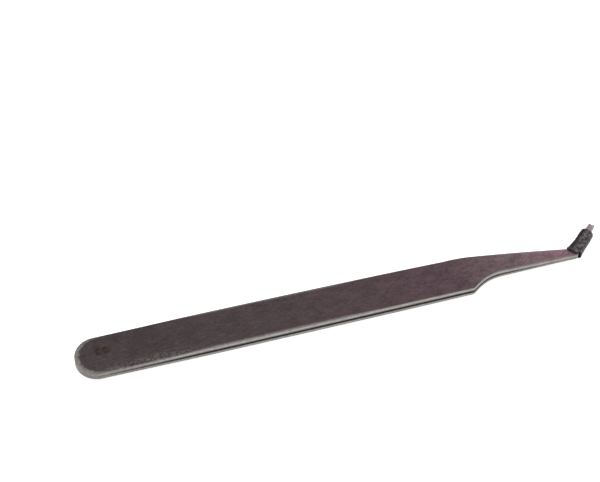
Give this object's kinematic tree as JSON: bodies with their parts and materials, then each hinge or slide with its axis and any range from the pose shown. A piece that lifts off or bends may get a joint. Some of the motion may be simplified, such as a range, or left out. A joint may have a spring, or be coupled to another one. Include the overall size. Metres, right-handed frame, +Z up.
{
  "type": "bent-nose tweezers",
  "caption": "Long flat steel tweezers with a round welded butt, a bent fine nose and a short rubber sleeve that holds the points closed, for picking and prying on an electronics bench.",
  "frame": {"origin": "under the middle of the bounding box, at the height of the lowest point of the sleeve's lip", "axes": "+X from the round butt to the points, +Y the side the nose bends to, +Z up through both legs, which lie flat"},
  "size_m": [0.1198, 0.011, 0.003],
  "materials": {
    "dark_steel": "dark grey-brown rolled spring steel with a purple cast towards the points, fine scratches, bright sheared and worn edges",
    "weld_steel": "small burnt, slightly rusty spot-weld marks",
    "black_rubber": "black semi-matt rubber with greyish smudges"
  },
  "bodies": {
    "lower_leg": {"lower_leg": "dark_steel", "weld_spot_rear": "weld_steel", "weld_spot_front": "weld_steel"},
    "upper_leg": {"upper_leg": "dark_steel"},
    "tip_sleeve": {"tip_sleeve": "black_rubber"}
  },
  "joints": [
    {"name": "upper_leg_flex", "type": "hinge", "parent": "lower_leg", "child": "upper_leg", "pos_m": [-0.05986, 0, 0.0015], "axis": [0, -1, 0], "range_deg": [0, 3.5], "stiffness_Nm_per_rad": 1.8, "deforming": ["tip_sleeve"]},
    {"name": "sleeve_slide", "type": "slide", "parent": "lower_leg", "child": "tip_sleeve", "axis": [0.7242, 0.6896, 0], "range_m": [0, 0.012]}
  ]
}
